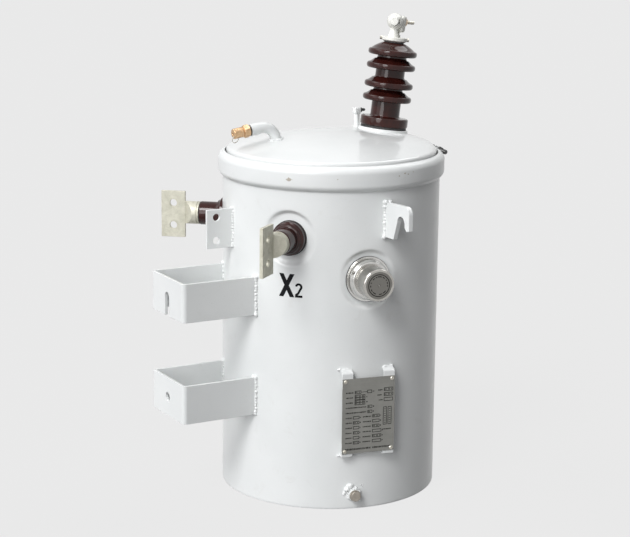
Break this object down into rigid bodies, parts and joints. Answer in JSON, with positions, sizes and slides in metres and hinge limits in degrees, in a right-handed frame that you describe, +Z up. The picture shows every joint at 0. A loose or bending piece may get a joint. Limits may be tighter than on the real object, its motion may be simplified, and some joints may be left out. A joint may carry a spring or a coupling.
{
  "type": "pole mounted transformer",
  "caption": "Pole mounted transformer: round painted tank with clamped cover, high and low voltage porcelain bushings, hanger brackets, lifting lugs, relief valve and nameplate.",
  "frame": {"origin": "on the tank's axis, level with the bottom rim that it stands on", "axes": "+Z up the tank's axis; -X out through the hanger brackets towards the pole; the lifting lugs point along -Y and +Y"},
  "size_m": [0.5846, 0.588, 0.9141],
  "materials": {
    "paint": "light grey-white gloss enamel",
    "seal_rubber": "black gasket rubber",
    "brown_glaze": "dark red-brown gloss glaze",
    "tinned_metal": "dull tinned casting",
    "zinc_steel": "zinc plated",
    "polished_steel": "polished stainless steel",
    "valve_brass": "machined brass",
    "plate_metal": "brushed and etched"
  },
  "bodies": {
    "root": {"tank_wall": "paint", "base_plate": "paint", "tank_rim": "paint", "cover_gasket": "seal_rubber", "cover": "paint", "groove_seal": "seal_rubber", "clamp_ring": "paint", "ring_ears": "paint", "ring_bolt": "zinc_steel", "high_bushing_seat": "paint", "high_bushing_gasket": "seal_rubber", "high_bushing_porcelain": "brown_glaze", "high_cap_seal": "seal_rubber", "high_bushing_cap": "tinned_metal", "cap_screws": "zinc_steel", "high_terminal": "tinned_metal", "high_terminal_bolt": "zinc_steel", "cover_post": "paint", "cover_post_bolt": "zinc_steel", "relief_pipe": "paint", "relief_collar": "paint", "relief_valve": "valve_brass", "earth_pad": "paint", "upper_hanger": "paint", "lower_hanger": "paint", "front_lifting_lug": "paint", "rear_lifting_lug": "paint", "changer_gasket": "seal_rubber", "changer_flange": "polished_steel", "changer_cap": "polished_steel", "nameplate": "plate_metal", "nameplate_screws": "zinc_steel", "upper_plate_tabs": "paint", "lower_plate_tabs": "paint", "earth_boss": "paint", "earth_bolt": "zinc_steel", "x1_gasket": "seal_rubber", "x1_porcelain": "brown_glaze", "x1_seal": "seal_rubber", "x1_ferrule": "tinned_metal", "x1_spade": "tinned_metal", "x2_gasket": "seal_rubber", "x2_porcelain": "brown_glaze", "x2_seal": "seal_rubber", "x2_ferrule": "tinned_metal", "x2_spade": "tinned_metal"}
  },
  "joints": []
}
